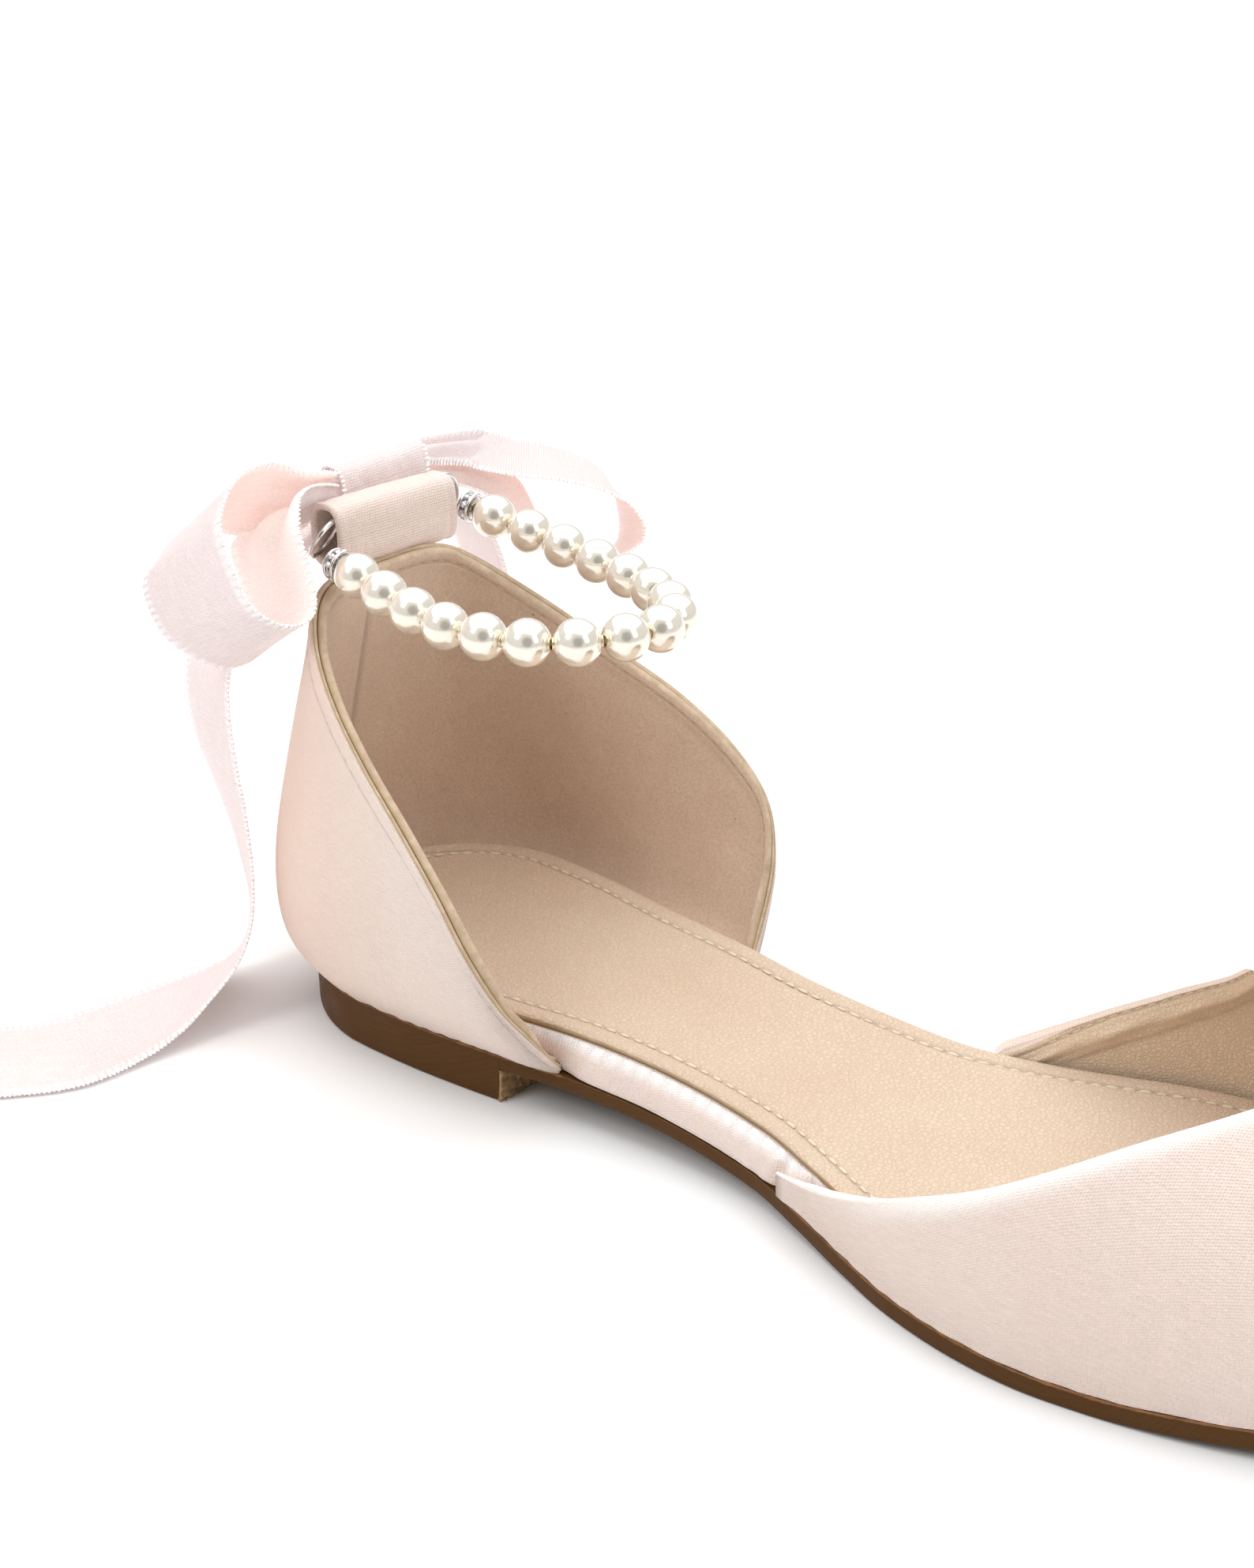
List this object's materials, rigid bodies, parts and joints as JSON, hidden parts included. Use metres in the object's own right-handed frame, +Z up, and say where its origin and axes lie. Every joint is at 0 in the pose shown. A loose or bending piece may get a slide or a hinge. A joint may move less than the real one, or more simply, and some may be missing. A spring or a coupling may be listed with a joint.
{
  "type": "pointed toe flat",
  "caption": "Right pointed toe flat in blush satin with an open waist, a ribbon bow at the heel and a pearl ankle strand.",
  "frame": {"origin": "middle of the heel block's flat bottom, on the floor", "axes": "+X towards the toe, +Y towards the inner side of the foot, +Z up"},
  "size_m": [0.3374, 0.213, 0.1033],
  "materials": {
    "sole_leather": "smooth brown outsole leather",
    "heel_leather": "stacked brown heel",
    "insole_leather": "fine grained beige lining leather",
    "satin": "blush satin over suede lining",
    "ribbon": "pale pink satin ribbon",
    "pearl": "ivory pearl",
    "crystal_silver": "crystal set silver",
    "silver": "polished silver"
  },
  "bodies": {
    "root": {"outsole": "sole_leather", "heel_block": "heel_leather", "insole_board": "satin", "insole_sock": "insole_leather", "vamp": "satin", "quarter": "satin", "heel_tab": "satin", "ribbon_knot": "ribbon", "ribbon_loop_outer": "ribbon", "ribbon_loop_inner": "ribbon", "ribbon_tail_outer": "ribbon", "ribbon_tail_inner": "ribbon", "pearl_01": "pearl", "pearl_02": "pearl", "pearl_03": "pearl", "pearl_04": "pearl", "pearl_05": "pearl", "pearl_06": "pearl", "pearl_07": "pearl", "pearl_08": "pearl", "pearl_09": "pearl", "pearl_10": "pearl", "pearl_11": "pearl", "pearl_12": "pearl", "pearl_13": "pearl", "pearl_14": "pearl", "pearl_15": "pearl", "pearl_16": "pearl", "pearl_17": "pearl", "rondelle_outer": "crystal_silver", "rondelle_inner": "crystal_silver", "ring_outer": "silver", "ring_inner": "silver", "strand_wire": "silver"}
  },
  "joints": []
}
